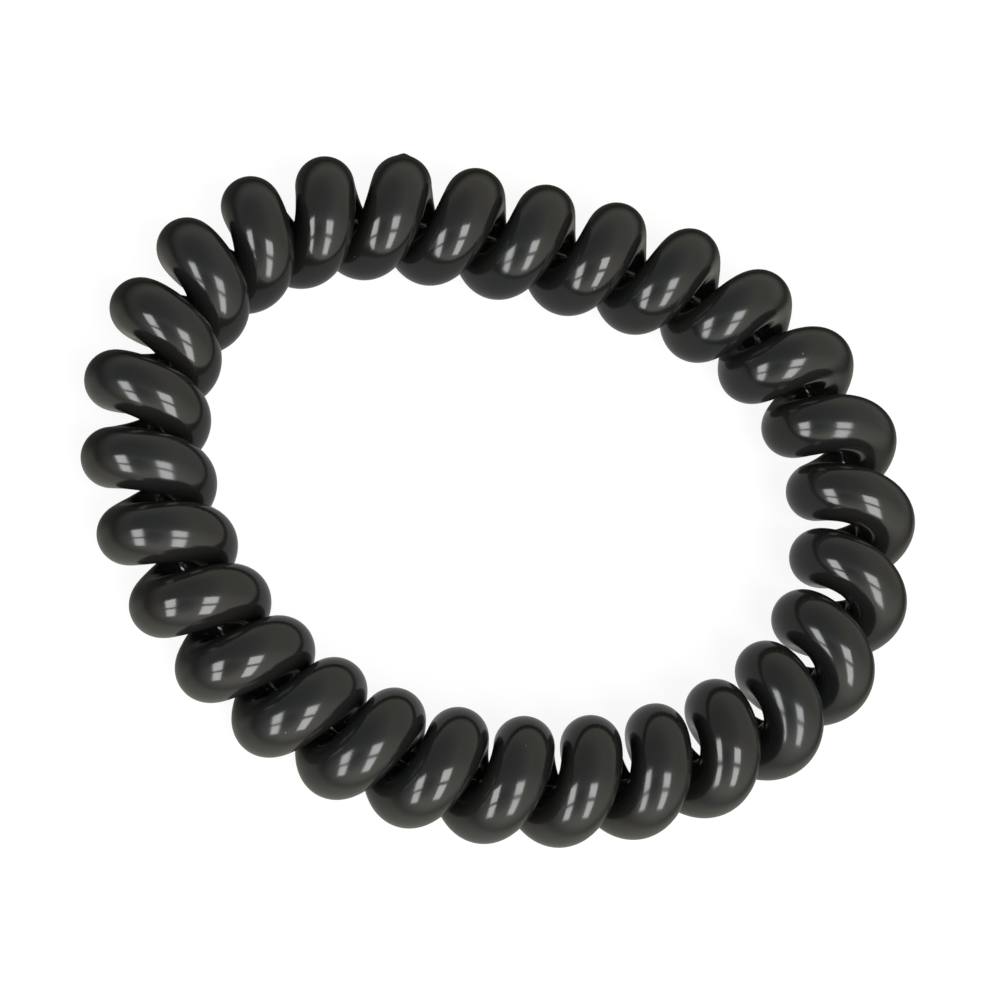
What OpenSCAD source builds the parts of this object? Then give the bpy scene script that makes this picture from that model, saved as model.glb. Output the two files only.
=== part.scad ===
// Spiral hair tie: one round wire wound as a helix round a closed ring, its two ends butt welded together.
// It lies flat on its side. Millimetres, +Z up, origin on the ground under the middle of its box.

/* [Ring] */
// Mean diameter of the ring, measured through the middle of the coil
ring_d = 48.8; // [38:0.2:70]

/* [Coil] */
// Diameter of the round wire
wire_d = 4.4; // [3:0.1:5]
// Diameter of the hole down the middle of the coil
core_d = 0.6; // [0.4:0.1:2]
// Least clear gap between two neighbouring turns, on the inside of the tightest bend
turn_gap = 0.06; // [0.04:0.02:0.5]

/* [Weld] */
// Place of the weld round the ring, in degrees from +X
weld_angle = 111.4; // [0:0.1:359]
// How far up the weld sits from the outermost side of its turn, in degrees
weld_turn = 22.5; // [0:0.5:90]
// How far the weld's ridge stands out of the wire
weld_h = 0.05; // [0:0.01:0.3]
// Length of the ridge along the wire
weld_len = 1.6; // [1:0.1:3]
// How far the nub of flash on the outside stands out of the ridge
nub_h = 0.15; // [0:0.05:0.4]

/* [Facets] */
// Sides of the wire
side_count = 12; // [8:2:12]
// Sections of the wire in one turn
section_count = 16; // [12:4:16]

/* [Hidden] */

// The ring isn't round: waves on its radius. Each line gives how many waves go in one round of the ring,
// the wave's height as a share of the mean radius, and the azimuth of a crest in degrees from +X
OUTLINE_SHARES = [
    [2, 0.125, 175],
    [3, 0.03, 20],
    [4, 0.006, 46]
];
// The turns aren't evenly spread: waves on the number of turns in each millimetre, given the same way
CROWDING_SHARES = [
    [1, 0.068, 195],
    [2, 0.027, 72]
];

ring_r = ring_d / 2;
coil_r = (wire_d + core_d) / 2;       // from the middle of the coil to the middle of the wire
coil_d = 2 * wire_d + core_d;         // outside of the coil
RADIAN = 180 / PI;

// What one line of a table gives: waves in a round, height of the wave, azimuth of its crest
function order(w) = w[0];
function height(w) = w[1];
function crest(w) = w[2];

// Waves at azimuth a, and their first and second slopes
function wave(table, a) = 1 + sum([for (w = table) height(w) * cos(order(w) * (a - crest(w)))]);
function slope(table, a) = -sum([for (w = table) height(w) * order(w) * sin(order(w) * (a - crest(w)))]);
function swing(table, a) = -sum([for (w = table) height(w) * pow(order(w), 2) * cos(order(w) * (a - crest(w)))]);
function sum(v, i = 0) = i < len(v) ? v[i] + sum(v, i + 1) : 0;

// The ring's middle line in plan at azimuth a: place, length for each radian, direction and bend
function radius(a) = ring_r * wave(OUTLINE_SHARES, a);
function rise(a) = ring_r * slope(OUTLINE_SHARES, a);
function middle(a) = radius(a) * [cos(a), sin(a)];
function stride(a) = norm([radius(a), rise(a)]);
function along(a) = (rise(a) * [cos(a), sin(a)] + radius(a) * [-sin(a), cos(a)]) / stride(a);
function bend(a) =
    (pow(radius(a), 2) + 2 * pow(rise(a), 2) - radius(a) * ring_r * swing(OUTLINE_SHARES, a)) / pow(stride(a), 3);

// Running share of the turns, counted round the ring from the weld, at every degree
crowd = [for (i = [0:360]) stride(weld_angle + i) * wave(CROWDING_SHARES, weld_angle + i) / RADIAN];
run = [for (i = 0, s = 0; i <= 360; s = s + (crowd[i] + crowd[min(i + 1, 360)]) / 2, i = i + 1) s];
ring_len = run[360];
azimuth_of = [for (i = [0:360]) [run[i] / ring_len, weld_angle + i]];

// Least pitch at azimuth a that keeps two turns turn_gap apart where the bend squeezes them
inner_step = (wire_d + turn_gap) / sqrt(1 - pow((wire_d + turn_gap) / (2 * PI * coil_r), 2));
function least_pitch(a) = inner_step / (1 - coil_r * max(bend(a), 0));
turns = floor(min([for (a = [0:359]) ring_len / (wave(CROWDING_SHARES, a) * least_pitch(a))]));

// Sections of the wire, as shares of its whole length counted from the weld, with more of them over the weld
WELD_SHARES = [-1, -0.7, -0.35, 0, 0.35, 0.7, 1];    // places over the weld, as shares of its reach
SPARE_SHARE = 0.3;                                   // least step from the weld to the next section, in steps
wire_len = norm([ring_len, 2 * PI * coil_r * turns]);
reach = weld_len / 2 / wire_len;
step = 1 / (turns * section_count);
first = ceil(reach / step + SPARE_SHARE);
shares = concat(
    [for (w = WELD_SHARES) w * reach],
    [for (i = [first:turns * section_count - first]) i * step]
);

// The weld's ridge fades to nothing at the end of its reach, and the nub on it points out of the ring
function fade(q) = pow(max(0, 1 - pow(q / reach, 2)), 2);
function nub(side) = nub_h * pow(max(0, cos(side)), 30);
function wire_r(q, side) = wire_d / 2 + fade(q) * (weld_h + fade(q) * nub(side));

// One section: a ring of points round the wire, in the plane across it
function section(q) =
    let (
        a = lookup(q - floor(q), azimuth_of),
        turn = weld_turn + 360 * turns * q,
        t = along(a),
        out = [t.y, -t.x, 0],
        up = [0, 0, 1],
        spoke = cos(turn) * out + sin(turn) * up,
        round = -sin(turn) * out + cos(turn) * up,
        step_along = ring_len / (2 * PI * turns * wave(CROWDING_SHARES, a)) * (1 + bend(a) * coil_r * cos(turn)),
        side_way = coil_r * [t.x, t.y, 0] - step_along * round,
        across = side_way / norm(side_way),
        c = [middle(a).x, middle(a).y, coil_d / 2] + coil_r * spoke
    )
    [for (j = [0:side_count - 1]) let (s = 360 * j / side_count)
        c + wire_r(q, s) * (cos(s) * spoke + sin(s) * across)];

points = [for (q = shares) each section(q)];
xs = [for (p = points) p.x];
ys = [for (p = points) p.y];
box_middle = [min(xs) + max(xs), min(ys) + max(ys), 0] / 2;

// Two triangles between side j of section i and the next ones, the last section joining the first
rings = len(shares);
function at(i, j) = (i % rings) * side_count + j % side_count;
skin = [for (i = [0:rings - 1], j = [0:side_count - 1]) each [
    [at(i, j), at(i + 1, j), at(i + 1, j + 1)],
    [at(i, j), at(i + 1, j + 1), at(i, j + 1)]
]];

module coil() {
    color([0.05, 0.05, 0.055])
        translate(-box_middle)
            polyhedron(points, skin, convexity = 10);
}

coil();
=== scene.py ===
"""Spiral hair tie: one glossy black wire, wound as a left-handed helix round a closed ring.

The CAD node is a faceted wire. Here the same helix is worked out again on a fine grid, with the
weld and its nub of flash, and stands for the node. All lengths are metres, in the CAD model's
own frame.
"""

import bpy
import numpy as np
from mathutils import Matrix, Vector


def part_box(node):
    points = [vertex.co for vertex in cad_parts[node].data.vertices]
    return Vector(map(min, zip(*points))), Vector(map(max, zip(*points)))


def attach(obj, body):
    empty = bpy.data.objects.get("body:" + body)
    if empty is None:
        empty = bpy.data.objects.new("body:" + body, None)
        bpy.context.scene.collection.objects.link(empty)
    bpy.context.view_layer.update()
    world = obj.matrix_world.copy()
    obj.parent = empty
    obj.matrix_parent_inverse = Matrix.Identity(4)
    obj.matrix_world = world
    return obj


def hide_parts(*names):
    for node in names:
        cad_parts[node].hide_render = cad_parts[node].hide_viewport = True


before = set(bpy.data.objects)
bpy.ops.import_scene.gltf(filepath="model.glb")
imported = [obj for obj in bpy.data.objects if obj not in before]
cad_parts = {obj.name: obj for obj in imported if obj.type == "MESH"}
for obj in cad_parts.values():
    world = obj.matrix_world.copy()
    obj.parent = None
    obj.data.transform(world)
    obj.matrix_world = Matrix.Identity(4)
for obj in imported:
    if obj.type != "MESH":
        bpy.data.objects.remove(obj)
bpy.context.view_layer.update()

MM = 0.001
TAU = 2 * np.pi

# Sizes of the tie, the same as the CAD's
RING_R = 48.8 / 2 * MM
WIRE_R = 4.4 / 2 * MM
CORE_R = 0.6 / 2 * MM
COIL_R = WIRE_R + CORE_R  # from the middle of the coil to the middle of the wire
TURNS = 28
WELD_ANGLE = np.radians(111.4)  # place of the weld round the ring
WELD_TURN = np.radians(22.5)  # how far up the weld sits from the outermost side of its turn

# Waves on the ring's radius, and on the number of turns in each length of it.
# Each is: waves in one round, height as a share, azimuth of a crest in degrees.
OUTLINE_SHARES = ((2, 0.125, 175), (3, 0.03, 20), (4, 0.006, 46))
CROWDING_SHARES = ((1, 0.068, 195), (2, 0.027, 72))

# The weld: a low ridge round the wire, with a nub of flash on its outer side
WELD_H = 0.05 * MM
WELD_REACH = 0.8 * MM  # half of the ridge's length along the wire
NUB_H = 0.15 * MM
NUB_POINT = 90  # the higher, the narrower the nub

# Fineness of the grid
RINGS_A_TURN = 76
SIDES = 40
SIDE_LEAN = 0.3  # how far the sides crowd towards the outside of the coil
WELD_RINGS = 60
WELD_ROOM = 1.6 * MM  # half of the length along the wire that has finer rings
AZIMUTH_STEPS = 7200  # steps in which the turns are summed round the ring


# The wire's surface


def wave(table, a):
    """1 + sum of height * cos(waves * (azimuth - crest)), with its first and second slopes."""
    value, slope, swing = np.ones_like(a), np.zeros_like(a), np.zeros_like(a)
    for waves, height, crest in table:
        phase = waves * (a - np.radians(crest))
        value = value + height * np.cos(phase)
        slope = slope - height * waves * np.sin(phase)
        swing = swing - height * waves**2 * np.cos(phase)
    return value, slope, swing


def middle_line(a):
    """The ring's middle line in plan at azimuth a: radius * (cos a, sin a).

    Gives the place, the direction along, the length for each radian and the bend.
    """
    value, slope, swing = wave(OUTLINE_SHARES, a)
    r, rise, rise2 = RING_R * value, RING_R * slope, RING_R * swing
    ray = np.stack([np.cos(a), np.sin(a)], -1)
    side = np.stack([-np.sin(a), np.cos(a)], -1)
    stride = np.hypot(r, rise)
    along = (rise[:, None] * ray + r[:, None] * side) / stride[:, None]
    bend = (r**2 + 2 * rise**2 - r * rise2) / stride**3
    return r[:, None] * ray, along, stride, bend


def azimuths(shares):
    """Azimuth at which each share of the turns is reached, and the ring's length.

    The turns run up with the stride times the crowding, summed round the ring from the weld.
    """
    a = WELD_ANGLE + np.linspace(0, TAU, AZIMUTH_STEPS + 1)
    stride = middle_line(a)[2] * wave(CROWDING_SHARES, a)[0]
    run = np.concatenate([[0], np.cumsum((stride[1:] + stride[:-1]) / 2) * (a[1] - a[0])])
    return np.interp(shares % 1, run / run[-1], a), run[-1]


def wire_shares(wire_len):
    """Places of the rings along the wire, as shares of its length: even, but finer at the weld."""
    room = WELD_ROOM / wire_len
    weld = np.linspace(-room, room, WELD_RINGS)
    count = TURNS * RINGS_A_TURN
    half_step = 0.5 / count
    even = np.arange(count) / count
    even = even[(even > room + half_step) & (even < 1 - room - half_step)]
    return np.concatenate([weld, even])


def helix(q, ring_len):
    """Middle of the wire at shares q of its length: middle line + coil radius * spoke.

    The spoke turns round the ring's middle line TURNS times. Across is square to the spoke and
    to the wire. Gives the middle of the wire, the spoke and across.
    """
    a = azimuths(q)[0]
    place, along, _, bend = middle_line(a)
    turn = WELD_TURN + TAU * TURNS * q
    zero = np.zeros_like(a)
    t = np.stack([along[:, 0], along[:, 1], zero], -1)
    out = np.stack([along[:, 1], -along[:, 0], zero], -1)
    up = np.array([0.0, 0.0, 1.0])
    cos, sin = np.cos(turn)[:, None], np.sin(turn)[:, None]
    spoke = cos * out + sin * up
    onward = -sin * out + cos * up
    pitch = ring_len / (TAU * TURNS * wave(CROWDING_SHARES, a)[0])
    step = pitch * (1 + bend * COIL_R * np.cos(turn))
    across = COIL_R * t - step[:, None] * onward
    across /= np.linalg.norm(across, axis=1)[:, None]
    centre = np.stack([place[:, 0], place[:, 1], zero + COIL_R + WIRE_R], -1) + COIL_R * spoke
    return centre, spoke, across


def wire_radius(length, side):
    """Wire radius + fade * (ridge + fade * nub), where fade is (1 - (length / reach)^2)^2.

    The nub is its height * (cos side)^NUB_POINT.
    """
    fade = np.clip(1 - (length / WELD_REACH) ** 2, 0, None) ** 2
    nub = NUB_H * np.clip(np.cos(side), 0, None) ** NUB_POINT
    return WIRE_R + fade[:, None] * (WELD_H + fade[:, None] * nub[None, :])


def wire_surface():
    """Points of the wire: its middle + radius * (cos side * spoke + sin side * across).

    Gives them on a grid of rings by sides, and each point's place on the wire as if the wire
    were straight, for patterns. That place's length runs up and down again, so that it closes.
    """
    ring_len = azimuths(np.zeros(1))[1]
    wire_len = np.hypot(ring_len, TAU * COIL_R * TURNS)
    q = wire_shares(wire_len)
    centre, spoke, across = helix(q, ring_len)

    side = TAU * np.arange(SIDES) / SIDES
    side = side - SIDE_LEAN * np.sin(side)
    length = q * wire_len
    radius = wire_radius(length, side)
    cos, sin = np.cos(side)[None, :, None], np.sin(side)[None, :, None]
    section = cos * spoke[:, None] + sin * across[:, None]
    points = centre[:, None] + radius[:, :, None] * section

    from_weld = wire_len / 2 - np.abs(length % wire_len - wire_len / 2)
    straight = np.stack(
        [
            np.broadcast_to(WIRE_R * np.cos(side), radius.shape),
            np.broadcast_to(WIRE_R * np.sin(side), radius.shape),
            np.broadcast_to(from_weld[:, None], radius.shape),
        ],
        -1,
    )
    return points, straight


def closed_skin(rings, sides):
    """Quads between each ring and the next, closed both ways round, faces outwards."""
    i, j = np.meshgrid(np.arange(rings), np.arange(sides), indexing="ij")
    i2, j2 = (i + 1) % rings, (j + 1) % sides
    corners = [i * sides + j, i * sides + j2, i2 * sides + j2, i2 * sides + j]
    return np.stack(corners, -1).reshape(-1, 4)


def open_sheet(rows, columns):
    """Quads between each row of points and the next."""
    i, j = np.meshgrid(np.arange(rows - 1), np.arange(columns - 1), indexing="ij")
    corner = i * columns + j
    corners = [corner, corner + 1, corner + columns + 1, corner + columns]
    return np.stack(corners, -1).reshape(-1, 4)


def mesh_object(name, points, faces, smooth=True):
    """An object at the origin with its place in its mesh."""
    mesh = bpy.data.meshes.new(name)
    mesh.from_pydata(points.reshape(-1, 3).tolist(), [], faces.tolist())
    mesh.polygons.foreach_set("use_smooth", np.full(len(mesh.polygons), smooth))
    mesh.update()
    made = bpy.data.objects.new(name, mesh)
    bpy.context.scene.collection.objects.link(made)
    return made


# Materials

# Colours of the plastic and the dust on it
WARM_BLACK = (0.0095, 0.009, 0.008, 1)
COOL_BLACK = (0.007, 0.008, 0.008, 1)
PALE_DUST = (0.1, 0.1, 0.09, 1)

# How fine each of the plastic's patterns is
CLOUD_SCALE = 320.0
WAVE_SCALE = 420.0
DUST_SCALE = 900.0
MARK_SCALE = 3800.0
MARK_STRETCH = (1, 1, 0.05)  # the marks run along the wire

# The clouds, whose shade sets tint and gloss
TINT_SHADES = (0.35, 0.65)
GLOSS_SHADES = (0.3, 0.7)
SMOOTHEST, ROUGHEST = 0.11, 0.18

# Relief of the plastic
WAVE_DEPTH = 0.018 * MM
MARK_DEPTH = 0.0022 * MM

# Dust: a speck in the middle of a few cells
SPECK_CORE, SPECK_EDGE = 0.03, 0.05
BARE_SHARE = 0.97  # share of the cells without a speck
DUST_ROUGHNESS = 0.5

PLASTIC_IOR = 1.5

# The floor
FLOOR_GREY = (0.15, 0.15, 0.15, 1)
FLOOR_ROUGHNESS = 0.9
FLOOR_GLOW = 0.885
WHITE = (1, 1, 1, 1)


class NodeTree:
    """Short ways to add nodes to a material's or the world's tree."""

    def __init__(self, tree):
        self.nodes, self.links = tree.nodes, tree.links

    def add(self, kind, inputs=(), **settings):
        """A node with its settings, each input a number, a vector or another node's output."""
        node = self.nodes.new(kind)
        for key, value in settings.items():
            setattr(node, key, value)
        for key, value in dict(inputs).items():
            if isinstance(value, bpy.types.NodeSocket):
                self.links.new(value, node.inputs[key])
            else:
                node.inputs[key].default_value = value
        return node

    def calc(self, operation, *values):
        """One step of arithmetic."""
        return self.add("ShaderNodeMath", enumerate(values), operation=operation).outputs[0]

    def ramp(self, value, from_low, from_high, to_low, to_high, smooth=False):
        """Value carried from one range to another, held at its ends."""
        node = self.add(
            "ShaderNodeMapRange",
            {"Value": value, 1: from_low, 2: from_high, 3: to_low, 4: to_high},
            interpolation_type="SMOOTHSTEP" if smooth else "LINEAR",
        )
        return node.outputs[0]

    def toward(self, direction, centre, edge, full):
        """0 to 1 as a direction turns towards a centre, between the cosines edge and full."""
        pair = {0: direction, 1: centre}
        cosine = self.add("ShaderNodeVectorMath", pair, operation="DOT_PRODUCT").outputs["Value"]
        return self.ramp(cosine, edge, full, 0.0, 1.0, smooth=True)

    def blend(self, share, first, second):
        """A colour between the first, at share 0, and the second, at share 1."""
        mix = self.add("ShaderNodeMix", {0: share, 6: first, 7: second}, data_type="RGBA")
        return mix.outputs[2]

    def noise(self, place, scale, detail=2.0):
        """A cloudy pattern, from 0 to 1."""
        node = self.add("ShaderNodeTexNoise", {"Vector": place, "Scale": scale, "Detail": detail})
        return node.outputs["Fac"]

    def bump(self, height, depth, **under):
        """The normal over a relief of this depth, on top of another relief's normal if given."""
        inputs = {"Height": height, "Strength": 1.0, "Distance": depth, **under}
        return self.add("ShaderNodeBump", inputs).outputs["Normal"]


def principled(name):
    """A material, its node tree and its main shader."""
    material = bpy.data.materials.new(name)
    material.use_nodes = True
    tree = material.node_tree
    return material, NodeTree(tree), tree.nodes["Principled BSDF"]


def black_plastic():
    """Glossy black elastic plastic.

    It has a near-black body, uneven gloss, faint drawing marks, soft waves and a little dust. Its
    patterns lie on the straight wire.
    """
    material, tree, shader = principled("gloss_black_plastic")
    place = tree.add("ShaderNodeAttribute", attribute_name="straight").outputs["Vector"]
    stretch = tree.add("ShaderNodeVectorMath", {0: place, 1: MARK_STRETCH}, operation="MULTIPLY")
    cloud = tree.noise(place, CLOUD_SCALE)
    marks = tree.noise(stretch.outputs[0], MARK_SCALE, detail=3.0)
    waves = tree.noise(place, WAVE_SCALE, detail=1.0)
    cells = tree.add(
        "ShaderNodeTexVoronoi", {"Vector": place, "Scale": DUST_SCALE, "Randomness": 1.0}
    )
    speck = tree.ramp(cells.outputs["Distance"], SPECK_CORE, SPECK_EDGE, 1.0, 0.0)
    parts = tree.add("ShaderNodeSeparateColor", {"Color": cells.outputs["Color"]})
    dusty = tree.calc("GREATER_THAN", parts.outputs["Red"], BARE_SHARE)
    dust = tree.calc("MULTIPLY", speck, dusty)

    tint = tree.blend(tree.ramp(cloud, *TINT_SHADES, 0.0, 1.0), WARM_BLACK, COOL_BLACK)
    body = tree.blend(dust, tint, PALE_DUST)
    gloss = tree.ramp(cloud, *GLOSS_SHADES, SMOOTHEST, ROUGHEST)
    rough = tree.calc("ADD", gloss, tree.calc("MULTIPLY", dust, DUST_ROUGHNESS))
    soft = tree.bump(waves, WAVE_DEPTH)
    fine = tree.bump(marks, MARK_DEPTH, Normal=soft)
    tree.links.new(body, shader.inputs["Base Color"])
    tree.links.new(rough, shader.inputs["Roughness"])
    tree.links.new(fine, shader.inputs["Normal"])
    shader.inputs["IOR"].default_value = PLASTIC_IOR
    return material


def white_floor():
    """A lit white table: it glows a little, so that only a faint shadow is left on it."""
    material, _, shader = principled("white_floor")
    shader.inputs["Base Color"].default_value = FLOOR_GREY
    shader.inputs["Roughness"].default_value = FLOOR_ROUGHNESS
    shader.inputs["Specular IOR Level"].default_value = 0.0
    shader.inputs["Emission Color"].default_value = WHITE
    shader.inputs["Emission Strength"].default_value = FLOOR_GLOW
    return material


def glow(name, strength):
    """A material that only glows."""
    material = bpy.data.materials.new(name)
    material.use_nodes = True
    tree = NodeTree(material.node_tree)
    tree.nodes.clear()
    light = tree.add("ShaderNodeEmission", {"Strength": strength})
    tree.add("ShaderNodeOutputMaterial", {"Surface": light.outputs["Emission"]})
    return material


# The tie

points, straight = wire_surface()
low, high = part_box("coil")
shift = (np.array(low) + np.array(high)) / 2 - (points.min((0, 1)) + points.max((0, 1))) / 2
shift[2] = low[2] - points[..., 2].min()
points += shift
wire = mesh_object("spiral_wire", points, closed_skin(*points.shape[:2]))
attribute = wire.data.attributes.new("straight", "FLOAT_VECTOR", "POINT")
attribute.data.foreach_set("vector", straight.astype(np.float32).ravel())
wire.data.materials.append(black_plastic())
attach(wire, "root")
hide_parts("coil")

# Floor and backdrop

FLOOR_HALF = 3.0
floor = mesh_object(
    "floor",
    np.array([[-1, -1, 0], [1, -1, 0], [1, 1, 0], [-1, 1, 0]]) * FLOOR_HALF,
    np.array([[0, 1, 2, 3]]),
    smooth=False,
)
floor.data.materials.append(white_floor())
floor.visible_glossy = False

ROUND_POINTS = 65
around = np.linspace(0, TAU, ROUND_POINTS)


def round_sheet(name, inner, outer, strength):
    """A glowing sheet between two closed rows of points, which casts no light on the tie."""
    rows = np.stack([inner, outer])
    sheet = mesh_object(name, rows, open_sheet(*rows.shape[:2]), smooth=False)
    sheet.data.materials.append(glow(name, strength))
    sheet.visible_diffuse = sheet.visible_transmission = sheet.visible_shadow = False
    return sheet


# The pale table in the ring's hole, which only shows as a reflection in the rims that face it
HOLE_TABLE_SHARE = 0.95  # its edge, as a share of the way to the ring's middle line
HOLE_TABLE_EYE = 0.02  # the small hole left in its middle, as a share of its edge
HOLE_TABLE_GLOW = 0.36
centre = np.array([shift[0], shift[1], 0])
edge = np.pad(middle_line(around)[0] * HOLE_TABLE_SHARE, ((0, 0), (0, 1)))
hole_table = round_sheet(
    "hole_table", edge * HOLE_TABLE_EYE + centre, edge + centre, HOLE_TABLE_GLOW
)
hole_table.visible_camera = False

# A white wall behind the floor, which neither lights the tie nor shows in it
BACKDROP_R = 2.9
BACKDROP_H = 1.5
BACKDROP_GLOW = 1.0
foot = np.stack([np.cos(around), np.sin(around), np.zeros_like(around)], -1) * BACKDROP_R
backdrop = round_sheet("backdrop", foot, foot + (0, 0, BACKDROP_H), BACKDROP_GLOW)
backdrop.visible_glossy = False

# Windows, as places on the sky's chart: right is +x, and the front is -y

WINDOW_FAR = 1.4
WINDOW_LIGHT = 9.5
WINDOWS = (  # name, left side, right side, top, lean
    ("left", -0.77, -0.54, -0.05, 0.08),
    ("right", -0.09, 0.14, -0.15, 0.15),
)
BAR_TOP, BAR_FOOT = -0.36, -0.43  # the bar between the high and the low pane
WINDOW_FOOT = -0.78
LEAN_FROM = 0.1  # place on the chart from which a window's sides lean
PANE_POINTS = 9


def sky(x, y):
    """Direction of a place on the sky's chart: (2x, 2y, 1 - x^2 - y^2) / (1 + x^2 + y^2).

    The zenith is in the chart's middle and the horizon is the circle at 1.
    """
    square = x**2 + y**2
    return np.stack([2 * x, 2 * y, 1 - square], -1) / (1 + square)[..., None]


def window(name, left, right, top, bottom, lean):
    """A glowing pane on the dome of the sky. Its sides move right by lean on the way down."""
    steps = np.linspace(0, 1, PANE_POINTS)
    v, u = np.meshgrid(steps, steps, indexing="ij")
    y = top + (bottom - top) * v
    x = left + (right - left) * u + lean * (LEAN_FROM - y)
    faces = open_sheet(PANE_POINTS, PANE_POINTS)
    pane = mesh_object(name, sky(x, y) * WINDOW_FAR, faces, smooth=False)
    pane.data.materials.append(glow(name, WINDOW_LIGHT))
    pane.visible_camera = False


for side_name, left, right, top, lean in WINDOWS:
    window(f"window_{side_name}_high", left, right, top, BAR_TOP, lean)
    window(f"window_{side_name}_low", left, right, BAR_FOOT, WINDOW_FOOT, lean)

# Soft light from all round

SKY_LIGHT = 0.55
SKY_FRONT = 0.78  # more light towards the front
SKY_HEIGHT = 0.16  # more light towards the zenith
LOW_LIGHT = 0.03
LOW_FRONT = 0.45
HORIZON = (-0.42, 0.12)  # heights between which the low light turns into the sky's
CEILING = ((-0.66, 0.09, 0.74), 0.3, 1.0)  # direction, and the cosines where it starts and is full
CEILING_SHADE = 0.36
WALL = ((-0.51, -0.65, 0.56), 0.88, 0.99)
WALL_SHADE = 0.45
TABLE_STEEP = (-0.62, -0.32)  # heights between which the pale table below fades out
TABLE_BACK = (0.1, 0.6)  # how far to the back it fades to its least
TABLE_LIGHT = 0.36
TABLE_LEAST = 0.1
WARM_LIGHT = (1, 0.98, 0.86, 1)
COOL_LIGHT = (0.92, 0.96, 1, 1)


def studio_world():
    """The dome of the sky and what lies below it, as strengths by direction.

    The sky is brighter towards the front and the zenith, apart from a darker ceiling at the left,
    cooler in colour, and a dark patch of wall in front of that. Below the horizon it is dark
    towards the back, lighter towards the front, with a pale table steeply below.
    """
    world = bpy.data.worlds.new("studio")
    bpy.context.scene.world = world
    world.use_nodes = True
    tree = NodeTree(world.node_tree)
    direction = tree.add("ShaderNodeTexCoord").outputs["Generated"]
    axis = tree.add("ShaderNodeSeparateXYZ", {"Vector": direction}).outputs
    front = tree.calc("MAXIMUM", tree.calc("MULTIPLY", axis["Y"], -1.0), 0.0)
    height = tree.calc("MAXIMUM", axis["Z"], 0.0)
    overhead = tree.calc("MULTIPLY_ADD", height, SKY_HEIGHT, SKY_LIGHT)
    above = tree.calc("MULTIPLY_ADD", front, SKY_FRONT, overhead)
    below = tree.calc("MULTIPLY_ADD", front, LOW_FRONT, LOW_LIGHT)
    level = tree.ramp(axis["Z"], *HORIZON, 0.0, 1.0, smooth=True)
    even = tree.add("ShaderNodeMix", {0: level, 2: below, 3: above}).outputs[0]
    ceiling = tree.toward(direction, *CEILING)
    ceiling_shade = tree.calc("MULTIPLY", ceiling, CEILING_SHADE)
    wall_shade = tree.calc("MULTIPLY", tree.toward(direction, *WALL), WALL_SHADE)
    shade = tree.calc("ADD", ceiling_shade, wall_shade)
    steep = tree.ramp(axis["Z"], *TABLE_STEEP, TABLE_LIGHT, 0.0, smooth=True)
    not_back = tree.ramp(axis["Y"], *TABLE_BACK, 1.0, TABLE_LEAST, smooth=True)
    table = tree.calc("MULTIPLY", steep, not_back)
    light = tree.calc("ADD", tree.calc("SUBTRACT", even, shade), table)
    background = world.node_tree.nodes["Background"]
    tree.links.new(light, background.inputs["Strength"])
    tree.links.new(tree.blend(ceiling, WARM_LIGHT, COOL_LIGHT), background.inputs["Color"])


studio_world()

# Camera

TO_CAMERA = Vector((-0.327, -0.404, 1.0)).normalized()
AIM = Vector((-0.00065, 0.0, 0.0045))
DISTANCE = 0.30
SEEN_WIDTH = 0.0733  # width of the view at the tie
SENSOR_MM = 36.0
NEAR, FAR = 0.01, 20

camera = bpy.data.objects.new("camera", bpy.data.cameras.new("camera"))
bpy.context.scene.collection.objects.link(camera)
camera.data.sensor_width = SENSOR_MM
camera.data.lens = SENSOR_MM * DISTANCE / SEEN_WIDTH
up = (Vector((0, 1, 0)) - TO_CAMERA * TO_CAMERA.y).normalized()
turned = Matrix((up.cross(TO_CAMERA), up, TO_CAMERA)).transposed().to_4x4()
camera.matrix_world = Matrix.Translation(AIM + TO_CAMERA * DISTANCE) @ turned
camera.data.clip_start, camera.data.clip_end = NEAR, FAR
bpy.context.scene.camera = camera

bpy.context.scene.view_settings.view_transform = "Standard"
